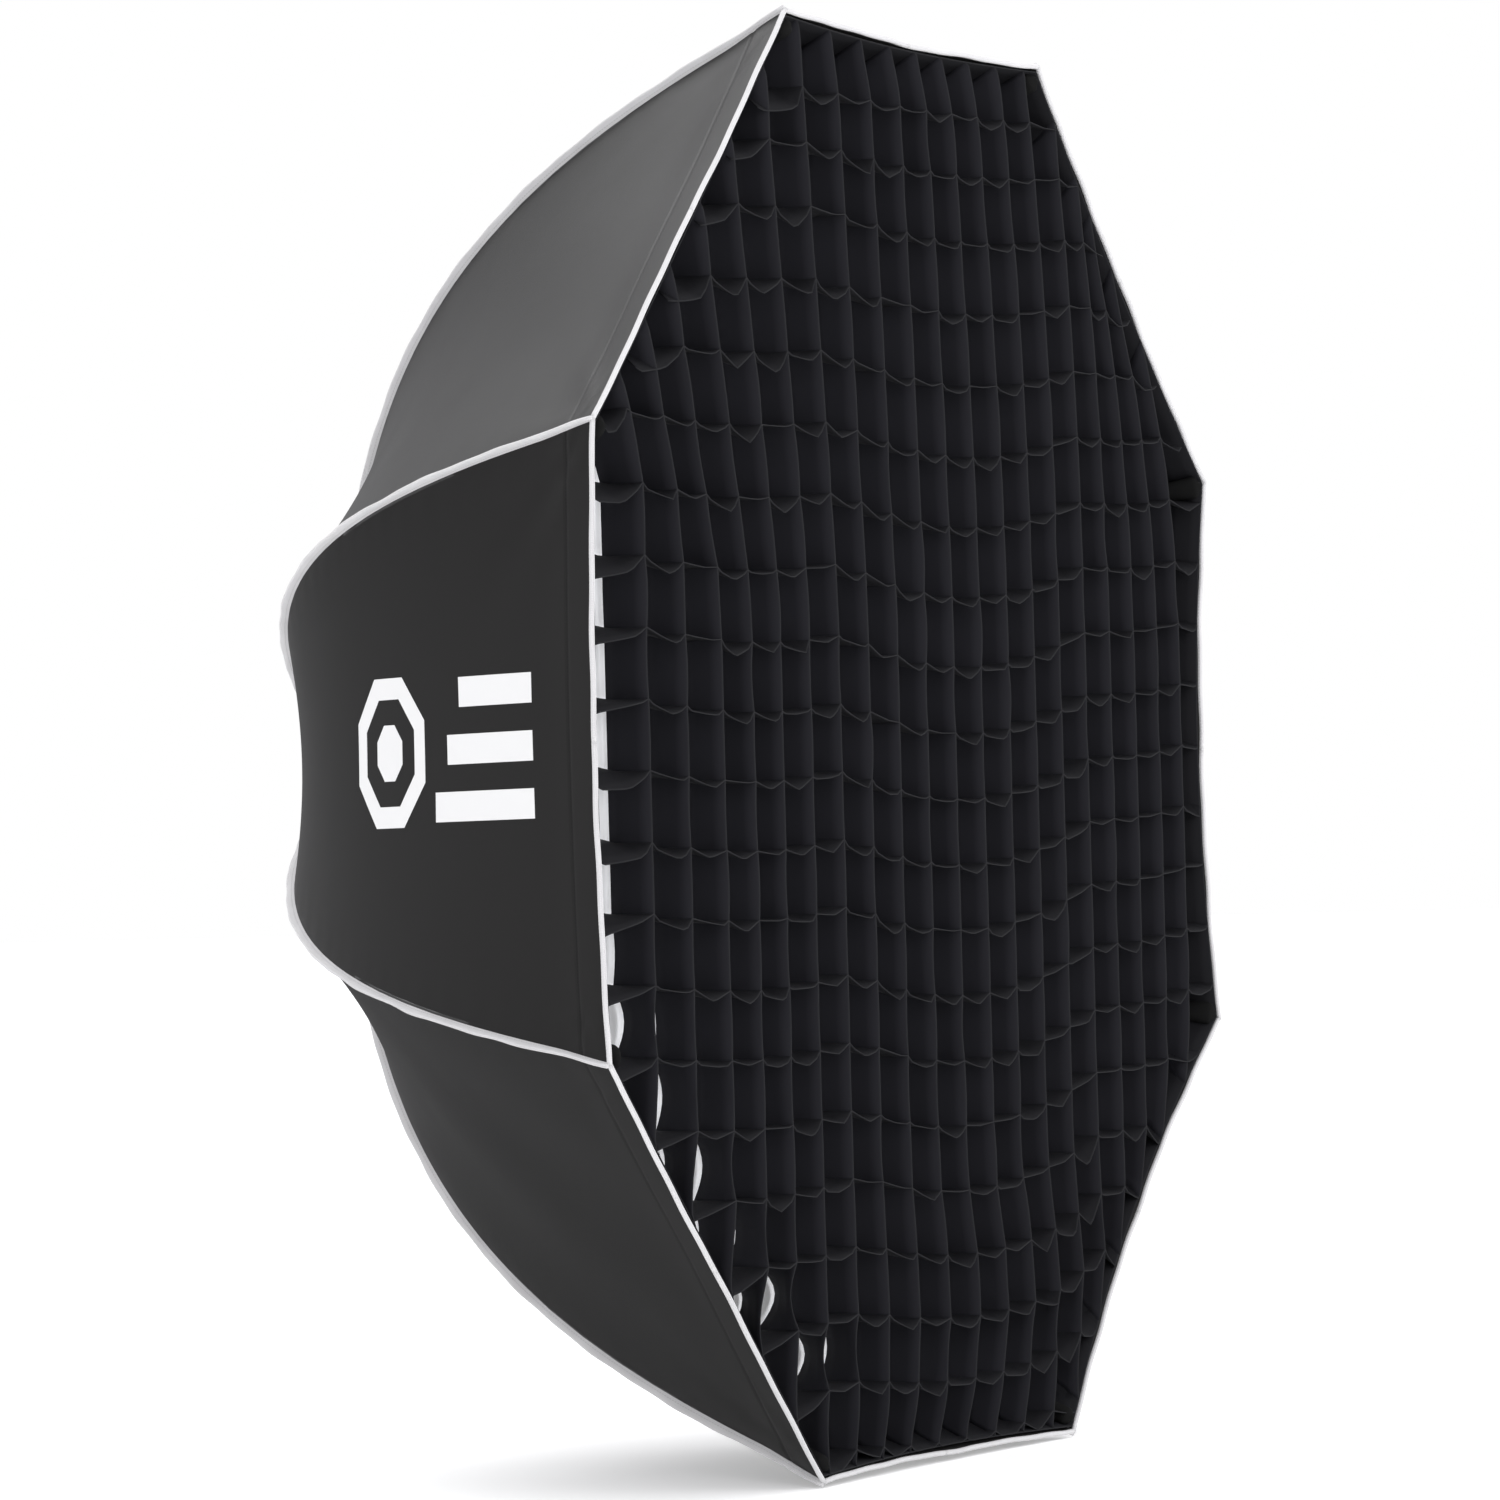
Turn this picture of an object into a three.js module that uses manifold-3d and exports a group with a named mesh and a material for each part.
// Octagonal folding softbox, 120 cm across its corners: a hinged frame of eight curved ribs, sixteen
// half panels of fabric, two diffusers, a fabric grid and a bayonet adapter for the light.
// Millimetres, +Z up. The light axis is Y: the open front faces -Y and the light fastens on at +Y.
// The origin is on the light axis, half-way between the front rim and the back of the bayonet lugs.
// A depth is a distance behind the plane of the front rim.
import * as THREE from 'three';
import Module from 'manifold-3d';
import { mergeVertices } from 'three/addons/utils/BufferGeometryUtils.js';

const { degToRad } = THREE.MathUtils;

// Driving dimensions.
const RIB_COUNT = 8;
const CORNER_RADIUS = 600;
const HINGE_RADIUS = 82;
const HINGE_DEPTH = 500;
const HINGE_TO_MOUNT = 24;
const LUG_TOP = 9;

// The seam over a rib is a straight stretch at the hub and one cubic curve to the corner.
// A tilt is measured from the light axis, and a handle is the distance to the curve's control point.
const ROOT_TILT = degToRad(73);
const ROOT_HANDLE = 284;
const FRONT_TILT = degToRad(21.6);
const FRONT_HANDLE = 240;

// Ribs.
const ARM_LENGTH = 62;
const ARM_WIDTH = 8;
const ROD_RADIUS = 4;
const ROD_INSET = 9;
const ROD_START = 22.5;
const ROD_SETBACK = 12;
const SOCKET_RADIUS = 4.4;
const SLEEVE_RADIUS = 6.4;
const SLEEVE_START = 18;
const CAP_LENGTH = 14;
const CAP_WALL = 3;

// Hinges.
const EYE_RADIUS = 5.5;
const EAR_RADIUS = 6;
const EAR_THICKNESS = 3;
const PIN_RADIUS = 2;
const PIN_HOLE_RADIUS = 2.3;
const PIN_HEAD_RADIUS = 3.4;
const PIN_HEAD_THICKNESS = 1.2;
const SIDE_GAP = 0.6;
const GAP = 0.3;

// Hub and adapter.
const OPENING_RADIUS = 46;
const COLLAR_RADIUS = 50;
const BOSS_RADIUS = 54.5;
const WEB_INNER_RADIUS = 55;
const HUB_INNER_RADIUS = 67;
const HUB_OUTER_RADIUS = 74;
const HUB_LENGTH = 34;
const FLANGE_RADIUS = 72;
const FLANGE_THICKNESS = 4;
const BOSS_LENGTH = 12.7;
const LUG_COUNT = 3;
const LUG_RADIUS = 57;
const LUG_HEIGHT = 3;
const LUG_ANGLE = degToRad(38);
const RETAINER_RADIUS = 62;
const RETAINER_THICKNESS = 3;
const SCREW_COUNT = 3;
const SCREW_RADIUS = 1.5;
const SCREW_LENGTH = 9;
const SCREW_HEAD_RADIUS = 2.6;
const SCREW_HEAD_HEIGHT = 1.8;
const COVER_THICKNESS = 2;
const LOCK_INNER_RADIUS = 58;
const LOCK_OUTER_RADIUS = 72;
const LOCK_THICKNESS = 4;
const THUMB_SIZE = { radial: 8, height: 9, along: 22 };

// Fabric.
const FABRIC = 1.2;
const PANEL_INNER_RADIUS = 104;
const PANEL_ROWS = 10;
const PANEL_COLUMNS = 3;
const PANEL_EDGE_GAP = 1;
const RIM_SAG = 8;
const MIDDLE_SAG = 8;
const SLEEVE_FRONT_RADIUS = 102.6;
const SLEEVE_BACK_RADIUS = 82.5;
const SLEEVE_RISE = 11;
const BAFFLE_RADIUS = 290;
const BAFFLE_DEPTH = 230;
const DIFFUSER_RADIUS = 550;
const DIFFUSER_DEPTH = 38;
const GRID_FRONT = 1;
const GRID_DEPTH = 31;
const GRID_BAND = 12;
const GRID_STRIP = 2;
const GRID_STRIPS = 5;
const GRID_PITCH = 51.6;
const GRID_STEP = 4;

// Facets.
const ROUND_SEGMENTS = 48;
const SMALL_SEGMENTS = 12;
const ROD_STEPS = 18;

const RIB_PITCH = (2 * Math.PI) / RIB_COUNT;
const HALF_PITCH = RIB_PITCH / 2;
const MOUNT_DEPTH = HINGE_DEPTH + HINGE_TO_MOUNT;
const OVERALL_DEPTH = MOUNT_DEPTH + LUG_TOP;
const HUB_FRONT = MOUNT_DEPTH - HUB_LENGTH;
const RETAINER_BACK = MOUNT_DEPTH - BOSS_LENGTH - GAP;
const RETAINER_FRONT = RETAINER_BACK - RETAINER_THICKNESS;
const SCREW_CIRCLE = (OPENING_RADIUS + BOSS_RADIUS) / 2;
const COVER_FRONT = HUB_FRONT - GAP - COVER_THICKNESS;
const LOCK_BACK = COVER_FRONT - SIDE_GAP;

const ribAngle = (index) => HALF_PITCH + index * RIB_PITCH;
const atDepth = (depth) => depth - OVERALL_DEPTH / 2;

const finish = (color, roughness, metalness = 0) => ({ color, roughness, metalness });
const FINISHES = {
  outerFabric: finish(0x2b2b2e, 0.85),
  whiteFabric: finish(0xf2f4f6, 0.9),
  gridFabric: finish(0x17171b, 0.9),
  rod: finish(0x2a2c30, 0.35, 0.6),
  steel: finish(0xb6b9be, 0.3, 0.9),
  castMetal: finish(0x3a3c40, 0.45, 0.7),
  plastic: finish(0x1c1c1e, 0.55),
};

// Solids.
const wasm = await Module();
wasm.setup();

function toSolid(geometry) {
  const bare = geometry.clone();
  bare.deleteAttribute('normal');
  bare.deleteAttribute('uv');
  const merged = mergeVertices(bare);
  return new wasm.Manifold(new wasm.Mesh({
    numProp: 3,
    vertProperties: merged.attributes.position.array,
    triVerts: new Uint32Array(merged.index.array),
  }));
}

function toGeometry(solid) {
  const mesh = solid.getMesh();
  const geometry = new THREE.BufferGeometry();
  geometry.setAttribute('position', new THREE.BufferAttribute(mesh.vertProperties, 3));
  geometry.setIndex(new THREE.BufferAttribute(mesh.triVerts, 1));
  geometry.computeVertexNormals();
  return geometry;
}

function join(geometries) {
  return toGeometry(geometries.map(toSolid).reduce((whole, piece) => whole.add(piece)));
}

function cut(geometry, tools) {
  return toGeometry(tools.map(toSolid).reduce((whole, tool) => whole.subtract(tool), toSolid(geometry)));
}

function trim(geometry, limit) {
  return toGeometry(toSolid(geometry).intersect(toSolid(limit)));
}

// A body turned about the light axis, from the radius and depth of its profile's corners.
function turned(profile, segments = ROUND_SEGMENTS) {
  const points = profile.map(([radius, depth]) => new THREE.Vector2(radius, atDepth(depth)));
  if (THREE.ShapeUtils.isClockWise(points)) points.reverse();
  return new THREE.LatheGeometry([...points, points[0]], segments, HALF_PITCH);
}

function ring(inner, outer, depth, thickness, segments) {
  const back = depth + thickness;
  return turned([[inner, depth], [outer, depth], [outer, back], [inner, back]], segments);
}

// An eight-sided plate with a corner over each rib.
function octagon(radius, depth, thickness) {
  const outline = [[0, depth], [radius, depth], [radius, depth + thickness], [0, depth + thickness]];
  const points = outline.map(([r, d]) => new THREE.Vector2(r, atDepth(d)));
  return new THREE.LatheGeometry(points, RIB_COUNT, HALF_PITCH);
}

function aroundAxis(geometry, angle) {
  return geometry.clone().rotateY(-angle);
}

// A cylinder along the light axis at a radius and an angle from it.
function axialPeg(radius, depth, length, circle, angle) {
  const peg = new THREE.CylinderGeometry(radius, radius, length, SMALL_SEGMENTS);
  peg.translate(circle, atDepth(depth + length / 2), 0);
  return aroundAxis(peg, angle);
}

// A cylinder along the hinge, in a rib's own frame.
function hingePeg(radius, length) {
  const peg = new THREE.CylinderGeometry(radius, radius, length, SMALL_SEGMENTS);
  return peg.rotateX(Math.PI / 2).translate(HINGE_RADIUS, atDepth(HINGE_DEPTH), 0);
}

// A rib's own frame: X points away from the light axis, Y along it and Z along the hinge.
const ribDirection = (tilt) => new THREE.Vector3(Math.sin(tilt), -Math.cos(tilt), 0);
const ribNormal = (tilt) => new THREE.Vector3(Math.cos(tilt), Math.sin(tilt), 0);

function alongArm(distance, inset = ROD_INSET) {
  return new THREE.Vector3(HINGE_RADIUS, atDepth(HINGE_DEPTH), 0)
    .addScaledVector(ribDirection(ROOT_TILT), distance)
    .addScaledVector(ribNormal(ROOT_TILT), ROD_INSET - inset);
}

// The seam's curve from the arm's end to the corner, or one that lies deeper inside by the inset.
function ribCurve(inset, setback) {
  const root = alongArm(ARM_LENGTH, inset);
  const corner = new THREE.Vector3(CORNER_RADIUS, atDepth(0), 0)
    .addScaledVector(ribNormal(FRONT_TILT), -inset);
  return new THREE.CubicBezierCurve3(
    root,
    root.clone().addScaledVector(ribDirection(ROOT_TILT), ROOT_HANDLE),
    corner.clone().addScaledVector(ribDirection(FRONT_TILT), -FRONT_HANDLE),
    corner.clone().addScaledVector(ribDirection(FRONT_TILT), -setback),
  );
}

function armAndCurve(start, inset, setback) {
  const path = new THREE.CurvePath();
  const curve = ribCurve(inset, setback);
  path.add(new THREE.LineCurve3(start, curve.v0));
  path.add(curve);
  return path;
}

// A cylinder that lies along the rib's arm, from one distance from the hinge to another.
function armPeg(radius, from, to) {
  const peg = new THREE.CylinderGeometry(radius, radius, to - from, SMALL_SEGMENTS);
  const middle = alongArm((from + to) / 2);
  return peg.rotateZ(ROOT_TILT - Math.PI).translate(middle.x, middle.y, 0);
}

function ribRoot() {
  const bar = new THREE.BoxGeometry(ARM_WIDTH, SLEEVE_START + CAP_WALL, ARM_WIDTH);
  const middle = alongArm((SLEEVE_START + CAP_WALL) / 2);
  bar.rotateZ(ROOT_TILT - Math.PI).translate(middle.x, middle.y, 0);
  const body = join([hingePeg(EYE_RADIUS, ARM_WIDTH), bar, armPeg(SLEEVE_RADIUS, SLEEVE_START, ARM_LENGTH)]);
  const socket = armPeg(SOCKET_RADIUS, ROD_START - GAP, ARM_LENGTH + 1);
  return cut(body, [hingePeg(PIN_HOLE_RADIUS, 2 * ARM_WIDTH), socket]);
}

function ribRod() {
  const section = new THREE.Shape().absarc(0, 0, ROD_RADIUS, 0, 2 * Math.PI);
  const path = armAndCurve(alongArm(ROD_START), ROD_INSET, ROD_SETBACK);
  const options = { steps: ROD_STEPS, curveSegments: 4, bevelEnabled: false, extrudePath: path };
  return new THREE.ExtrudeGeometry(section, options);
}

// A blind cap over the rod's front end.
function tipCap() {
  const profile = [
    [0, 0],
    [SLEEVE_RADIUS, 0],
    [SLEEVE_RADIUS, CAP_LENGTH],
    [SOCKET_RADIUS, CAP_LENGTH],
    [SOCKET_RADIUS, CAP_WALL],
    [0, CAP_WALL],
  ];
  const points = profile.map(([radius, height]) => new THREE.Vector2(radius, height));
  const cap = new THREE.LatheGeometry(points, SMALL_SEGMENTS).rotateZ(FRONT_TILT);
  const end = ribCurve(ROD_INSET, ROD_SETBACK - CAP_WALL - GAP).v3;
  return cap.translate(end.x, end.y, 0);
}

// A shaft through the clevis with a riveted head at each end.
function hingePin() {
  const shaftHalf = ARM_WIDTH / 2 + SIDE_GAP + EAR_THICKNESS + GAP;
  const head = hingePeg(PIN_HEAD_RADIUS, PIN_HEAD_THICKNESS);
  const offset = shaftHalf + PIN_HEAD_THICKNESS / 2;
  return join([
    hingePeg(PIN_RADIUS, 2 * shaftHalf + PIN_HEAD_THICKNESS),
    head.clone().translate(0, 0, offset),
    head.clone().translate(0, 0, -offset),
  ]);
}

function clevisEar(side) {
  const reach = HINGE_RADIUS - (HUB_INNER_RADIUS + HUB_OUTER_RADIUS) / 2;
  const outline = new THREE.Shape();
  outline.moveTo(-reach, EAR_RADIUS);
  outline.lineTo(-reach, -EAR_RADIUS);
  outline.absarc(0, 0, EAR_RADIUS, -Math.PI / 2, Math.PI / 2);
  const options = { depth: EAR_THICKNESS, curveSegments: 6, bevelEnabled: false };
  const ear = new THREE.ExtrudeGeometry(outline, options);
  const inner = ARM_WIDTH / 2 + SIDE_GAP;
  const start = side > 0 ? inner : -inner - EAR_THICKNESS;
  return ear.translate(HINGE_RADIUS, atDepth(HINGE_DEPTH), start);
}

function hubRing() {
  const webFront = RETAINER_BACK + 2 * GAP;
  const webBack = MOUNT_DEPTH - FLANGE_THICKNESS - GAP;
  const profile = [
    [WEB_INNER_RADIUS, webFront],
    [HUB_INNER_RADIUS, webFront],
    [HUB_INNER_RADIUS, HUB_FRONT],
    [HUB_OUTER_RADIUS, HUB_FRONT],
    [HUB_OUTER_RADIUS, webBack],
    [WEB_INNER_RADIUS, webBack],
  ];
  const pieces = [turned(profile)];
  const holes = [];
  for (let index = 0; index < RIB_COUNT; index += 1) {
    const angle = ribAngle(index);
    pieces.push(aroundAxis(clevisEar(1), angle), aroundAxis(clevisEar(-1), angle));
    holes.push(aroundAxis(hingePeg(PIN_HOLE_RADIUS, 2 * HINGE_TO_MOUNT), angle));
  }
  return cut(join(pieces), holes);
}

function hubCover() {
  const back = HUB_FRONT + FLANGE_THICKNESS;
  return turned([
    [OPENING_RADIUS + 1, COVER_FRONT],
    [HUB_OUTER_RADIUS - 1, COVER_FRONT],
    [HUB_OUTER_RADIUS - 1, COVER_FRONT + COVER_THICKNESS],
    [HUB_INNER_RADIUS - SIDE_GAP, COVER_FRONT + COVER_THICKNESS],
    [HUB_INNER_RADIUS - SIDE_GAP, back],
    [OPENING_RADIUS + 1, back],
  ]);
}

function lockRing() {
  const { radial, height, along } = THUMB_SIZE;
  const body = ring(LOCK_INNER_RADIUS, LOCK_OUTER_RADIUS, LOCK_BACK - LOCK_THICKNESS, LOCK_THICKNESS);
  const thumb = new THREE.BoxGeometry(radial, height, along);
  thumb.translate((LOCK_INNER_RADIUS + LOCK_OUTER_RADIUS) / 2, atDepth(LOCK_BACK - LOCK_THICKNESS), 0);
  return join([body, thumb, aroundAxis(thumb, Math.PI)]);
}

function bayonetLug(angle) {
  const outline = new THREE.Shape();
  outline.absarc(0, 0, LUG_RADIUS, -LUG_ANGLE / 2, LUG_ANGLE / 2, false);
  outline.absarc(0, 0, OPENING_RADIUS + 2, LUG_ANGLE / 2, -LUG_ANGLE / 2, true);
  const options = { depth: LUG_HEIGHT, curveSegments: 6, bevelEnabled: false };
  const lug = new THREE.ExtrudeGeometry(outline, options).rotateX(-Math.PI / 2);
  return aroundAxis(lug.translate(0, atDepth(MOUNT_DEPTH + LUG_TOP - LUG_HEIGHT), 0), angle);
}

function screwPegs(radius, depth, length) {
  return Array.from({ length: SCREW_COUNT }, (_, index) => (
    axialPeg(radius, depth, length, SCREW_CIRCLE, (index * 2 * Math.PI) / SCREW_COUNT)
  ));
}

function mountAdapter() {
  const body = turned([
    [OPENING_RADIUS, MOUNT_DEPTH - BOSS_LENGTH],
    [BOSS_RADIUS, MOUNT_DEPTH - BOSS_LENGTH],
    [BOSS_RADIUS, MOUNT_DEPTH - FLANGE_THICKNESS],
    [FLANGE_RADIUS, MOUNT_DEPTH - FLANGE_THICKNESS],
    [FLANGE_RADIUS, MOUNT_DEPTH],
    [COLLAR_RADIUS, MOUNT_DEPTH],
    [COLLAR_RADIUS, MOUNT_DEPTH + LUG_TOP],
    [OPENING_RADIUS, MOUNT_DEPTH + LUG_TOP],
  ]);
  const lugs = Array.from({ length: LUG_COUNT }, (_, index) => (
    bayonetLug(Math.PI / 2 + (index * 2 * Math.PI) / LUG_COUNT)
  ));
  const threads = screwPegs(SCREW_RADIUS + GAP, RETAINER_FRONT, SCREW_LENGTH + GAP);
  return cut(join([body, ...lugs]), threads);
}

function retainingRing() {
  const plate = ring(OPENING_RADIUS + 1, RETAINER_RADIUS, RETAINER_FRONT, RETAINER_THICKNESS);
  return cut(plate, screwPegs(SCREW_RADIUS + GAP, RETAINER_FRONT - 1, RETAINER_THICKNESS + 2));
}

function retainingScrew(index) {
  const shafts = screwPegs(SCREW_RADIUS, RETAINER_FRONT - GAP, SCREW_LENGTH);
  const heads = screwPegs(SCREW_HEAD_RADIUS, RETAINER_FRONT - GAP - SCREW_HEAD_HEIGHT, SCREW_HEAD_HEIGHT);
  return join([shafts[index], heads[index]]);
}

// A thin closed sheet from its outer points, row by row, and the vector from each to the inside.
function sheet(outer, inner) {
  const rows = outer.length;
  const columns = outer[0].length;
  const points = [...outer.flat(), ...inner.flat()];
  const front = (row, column) => row * columns + column;
  const back = (row, column) => rows * columns + front(row, column);
  const quads = [];
  for (let row = 0; row + 1 < rows; row += 1) {
    for (let column = 0; column + 1 < columns; column += 1) {
      const corners = [[row, column], [row + 1, column], [row + 1, column + 1], [row, column + 1]];
      quads.push(corners.map(([r, c]) => front(r, c)));
      quads.push(corners.reverse().map(([r, c]) => back(r, c)));
    }
    const last = columns - 1;
    quads.push([front(row, 0), back(row, 0), back(row + 1, 0), front(row + 1, 0)]);
    quads.push([front(row + 1, last), back(row + 1, last), back(row, last), front(row, last)]);
  }
  for (let column = 0; column + 1 < columns; column += 1) {
    const last = rows - 1;
    quads.push([front(0, column + 1), back(0, column + 1), back(0, column), front(0, column)]);
    quads.push([front(last, column), back(last, column), back(last, column + 1), front(last, column + 1)]);
  }
  const geometry = new THREE.BufferGeometry().setFromPoints(points);
  geometry.setIndex(quads.flatMap(([a, b, c, d]) => [a, b, c, a, c, d]));
  geometry.computeVertexNormals();
  return geometry;
}

// The half of a fabric panel between a rib's seam and the panel's centre line, on one side of the rib.
// The fabric is drawn inwards between its seams, most along the centre line.
function halfPanel(side) {
  const straight = alongArm(ARM_LENGTH, 0);
  const back = (straight.x - PANEL_INNER_RADIUS) / Math.sin(ROOT_TILT);
  const path = armAndCurve(alongArm(ARM_LENGTH - back, 0), 0, 0);
  const middle = new THREE.Vector3(Math.cos(HALF_PITCH), 0, side * Math.sin(HALF_PITCH));
  const outer = [];
  const inner = [];
  for (let row = 0; row <= PANEL_ROWS; row += 1) {
    const share = row / PANEL_ROWS;
    const seam = path.getPointAt(share);
    const tangent = path.getTangentAt(share);
    const lean = new THREE.Vector2(-tangent.y, tangent.x * middle.x).normalize();
    const inward = middle.clone().multiplyScalar(-lean.x).setY(-lean.y * (1 - share));
    const sag = RIM_SAG * share + MIDDLE_SAG * Math.sin(Math.PI * share);
    const toMiddle = middle.clone().multiplyScalar(seam.x * middle.x).sub(new THREE.Vector3(seam.x, 0, 0));
    const first = PANEL_EDGE_GAP / Math.abs(toMiddle.z);
    const last = 1 - PANEL_EDGE_GAP / toMiddle.length();
    const points = [];
    for (let column = 0; column <= PANEL_COLUMNS; column += 1) {
      const across = THREE.MathUtils.lerp(first, last, column / PANEL_COLUMNS);
      points.push(seam.clone()
        .addScaledVector(toMiddle, across)
        .addScaledVector(inward, sag * across * (2 - across)));
    }
    if (side > 0) points.reverse();
    outer.push(points);
    inner.push(points.map((point) => point.clone().addScaledVector(inward, FABRIC)));
  }
  return sheet(outer, inner);
}

// The eight-sided fabric sleeve between the panels and the hub.
function rearSleeve() {
  const straight = alongArm(ARM_LENGTH, 0);
  const seamDepth = straight.y - atDepth(0) + (straight.x - PANEL_INNER_RADIUS) / Math.tan(ROOT_TILT);
  return turned([
    [SLEEVE_FRONT_RADIUS, seamDepth],
    [SLEEVE_BACK_RADIUS, seamDepth + SLEEVE_RISE],
    [SLEEVE_BACK_RADIUS - FABRIC / 2, seamDepth + SLEEVE_RISE - FABRIC],
    [SLEEVE_FRONT_RADIUS - FABRIC / 2, seamDepth - FABRIC],
  ], RIB_COUNT);
}

// The grid's band, with one in four of the strips that cross it each way.
function grid() {
  const strips = [];
  for (let index = 0; index < GRID_STRIPS; index += 1) {
    const place = (index - (GRID_STRIPS - 1) / 2) * GRID_STEP * GRID_PITCH;
    const strip = new THREE.BoxGeometry(2 * DIFFUSER_RADIUS, GRID_DEPTH - 1, GRID_STRIP);
    strip.translate(0, atDepth(GRID_FRONT + GRID_DEPTH / 2), place);
    strips.push(strip, aroundAxis(strip, Math.PI / 2));
  }
  const inside = octagon(DIFFUSER_RADIUS - GRID_BAND / 2, GRID_FRONT, GRID_DEPTH);
  const band = ring(DIFFUSER_RADIUS - GRID_BAND, DIFFUSER_RADIUS, GRID_FRONT, GRID_DEPTH, RIB_COUNT);
  return join([trim(join(strips), inside), band]);
}

function named(name, geometry, look) {
  const mesh = new THREE.Mesh(geometry, new THREE.MeshStandardMaterial(FINISHES[look]));
  mesh.name = name;
  return mesh;
}

function rib(index) {
  const number = index + 1;
  const previous = ((index + RIB_COUNT - 1) % RIB_COUNT) + 1;
  const group = new THREE.Group();
  group.rotation.y = -ribAngle(index);
  group.add(
    named(`rib_root_${number}`, ribRoot(), 'castMetal'),
    named(`hinge_pin_${number}`, hingePin(), 'steel'),
    named(`rib_rod_${number}`, ribRod(), 'rod'),
    named(`tip_cap_${number}`, tipCap(), 'plastic'),
    named(`panel_${number}_half_a`, halfPanel(1), 'outerFabric'),
    named(`panel_${previous}_half_b`, halfPanel(-1), 'outerFabric'),
  );
  return group;
}

const octabox = new THREE.Group();
octabox.add(
  named('mount_adapter', mountAdapter(), 'castMetal'),
  named('retaining_ring', retainingRing(), 'castMetal'),
  named('hub_ring', hubRing(), 'castMetal'),
  named('hub_cover', hubCover(), 'plastic'),
  named('lock_ring', lockRing(), 'plastic'),
  named('rear_sleeve', rearSleeve(), 'outerFabric'),
  named('inner_baffle', octagon(BAFFLE_RADIUS, BAFFLE_DEPTH, FABRIC), 'whiteFabric'),
  named('front_diffuser', octagon(DIFFUSER_RADIUS, DIFFUSER_DEPTH, FABRIC), 'whiteFabric'),
  named('grid', grid(), 'gridFabric'),
);
for (let index = 0; index < SCREW_COUNT; index += 1) {
  octabox.add(named(`retaining_screw_${index + 1}`, retainingScrew(index), 'steel'));
}
for (let index = 0; index < RIB_COUNT; index += 1) {
  octabox.add(rib(index));
}

export default octabox;
